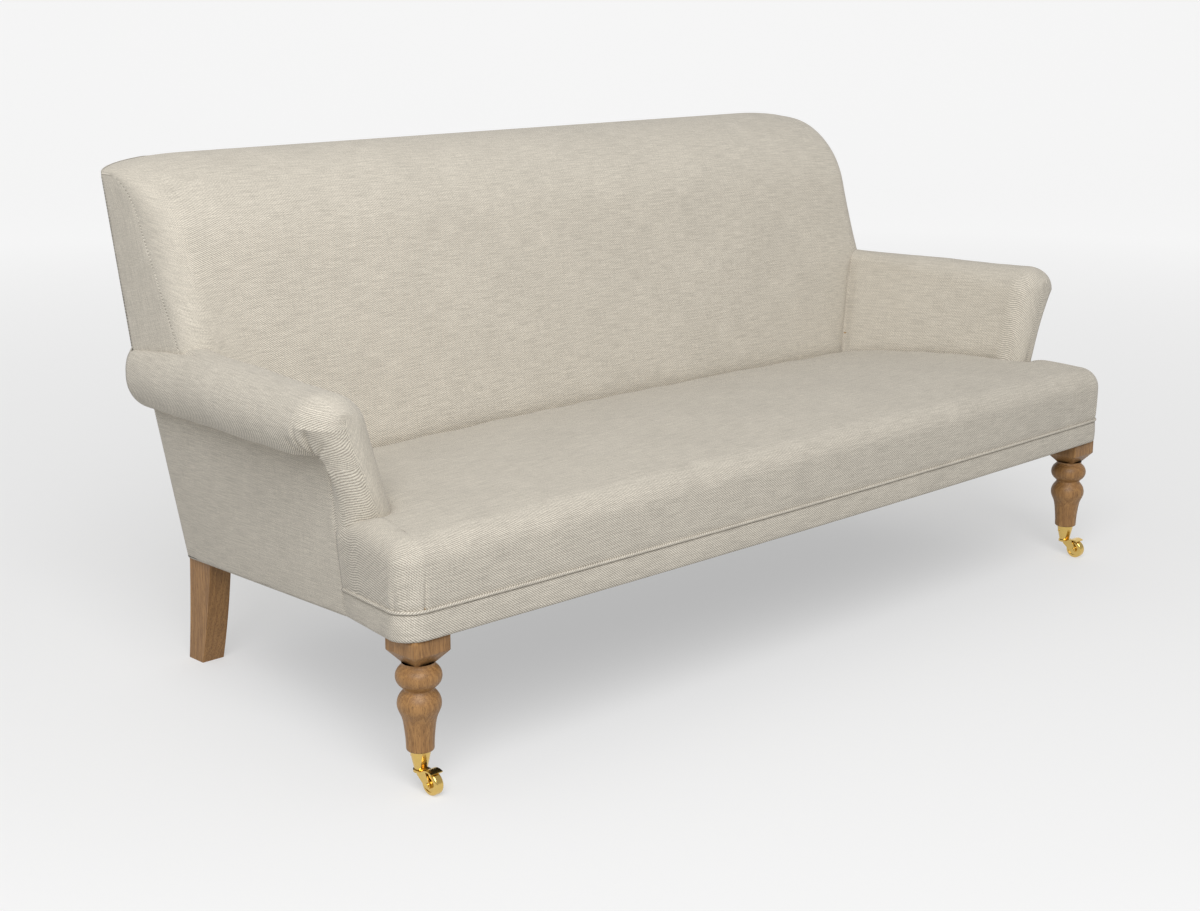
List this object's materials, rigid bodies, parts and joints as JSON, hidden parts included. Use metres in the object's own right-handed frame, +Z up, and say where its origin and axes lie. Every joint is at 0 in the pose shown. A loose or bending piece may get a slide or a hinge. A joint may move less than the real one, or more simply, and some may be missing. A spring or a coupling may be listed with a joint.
{
  "type": "english roll arm sofa",
  "caption": "Upholstered sofa with set-back rolled arms, a tight raked back, a sprung seat with a piped front edge, turned front legs on small castors and raked rear legs.",
  "frame": {"origin": "on the floor, under the middle of the sofa's overall width and depth", "axes": "+X along the sofa towards the sitter's left-hand arm as seen from the front on the right of the picture, +Y towards the back, +Z up"},
  "size_m": [1.9638, 0.89, 0.9],
  "materials": {
    "woven_cover": "matt oatmeal linen weave",
    "webbing_cloth": "coarse jute",
    "padding": "soft wadding over foam",
    "oak": "satin oiled",
    "frame_wood": "sawn, unfinished",
    "brass": "polished",
    "steel": "plain"
  },
  "bodies": {
    "sofa": {"back_lower_rail": "frame_wood", "back_pad": "padding", "back_rail": "frame_wood", "back_top_rail": "frame_wood", "back_uprights": "frame_wood", "back_webbing": "webbing_cloth", "castor_screws": "brass", "corner_blocks": "frame_wood", "dust_cover": "webbing_cloth", "front_border": "woven_cover", "front_rail": "frame_wood", "inside_back_cover": "woven_cover", "left_arm_cover": "woven_cover", "left_arm_lower_rail": "frame_wood", "left_arm_pad": "padding", "left_arm_post": "frame_wood", "left_arm_top_rail": "frame_wood", "left_back_post": "frame_wood", "left_back_side_cover": "woven_cover", "left_castor_cup": "brass", "left_front_leg": "oak", "left_outside_arm_cover": "woven_cover", "left_rear_leg": "oak", "left_side_rail": "frame_wood", "leg_bolts": "steel", "outside_back_cover": "woven_cover", "right_arm_cover": "woven_cover", "right_arm_lower_rail": "frame_wood", "right_arm_pad": "padding", "right_arm_post": "frame_wood", "right_arm_top_rail": "frame_wood", "right_back_post": "frame_wood", "right_back_side_cover": "woven_cover", "right_castor_cup": "brass", "right_front_leg": "oak", "right_outside_arm_cover": "woven_cover", "right_rear_leg": "oak", "right_side_rail": "frame_wood", "seat_braces": "frame_wood", "seat_cover": "woven_cover", "seat_hessian": "webbing_cloth", "seat_pad": "padding", "seat_piping": "woven_cover", "seat_springs": "steel", "spring_clips": "steel"},
    "right_horn": {"right_castor_horn": "brass", "right_castor_pin": "brass", "right_castor_axle": "brass"},
    "right_wheel": {"right_castor_wheel": "brass"},
    "left_horn": {"left_castor_horn": "brass", "left_castor_pin": "brass", "left_castor_axle": "brass"},
    "left_wheel": {"left_castor_wheel": "brass"}
  },
  "joints": [
    {"name": "right_castor_swivel", "type": "hinge", "parent": "sofa", "child": "right_horn", "pos_m": [0.8805, -0.387, 0.032], "axis": [0, 0, 1], "continuous": true},
    {"name": "right_castor_roll", "type": "hinge", "parent": "right_horn", "child": "right_wheel", "pos_m": [0.8805, -0.415, 0.018], "axis": [1, 0, 0], "continuous": true},
    {"name": "left_castor_swivel", "type": "hinge", "parent": "sofa", "child": "left_horn", "pos_m": [-0.8805, -0.387, 0.032], "axis": [0, 0, 1], "continuous": true},
    {"name": "left_castor_roll", "type": "hinge", "parent": "left_horn", "child": "left_wheel", "pos_m": [-0.8805, -0.415, 0.018], "axis": [1, 0, 0], "continuous": true}
  ]
}
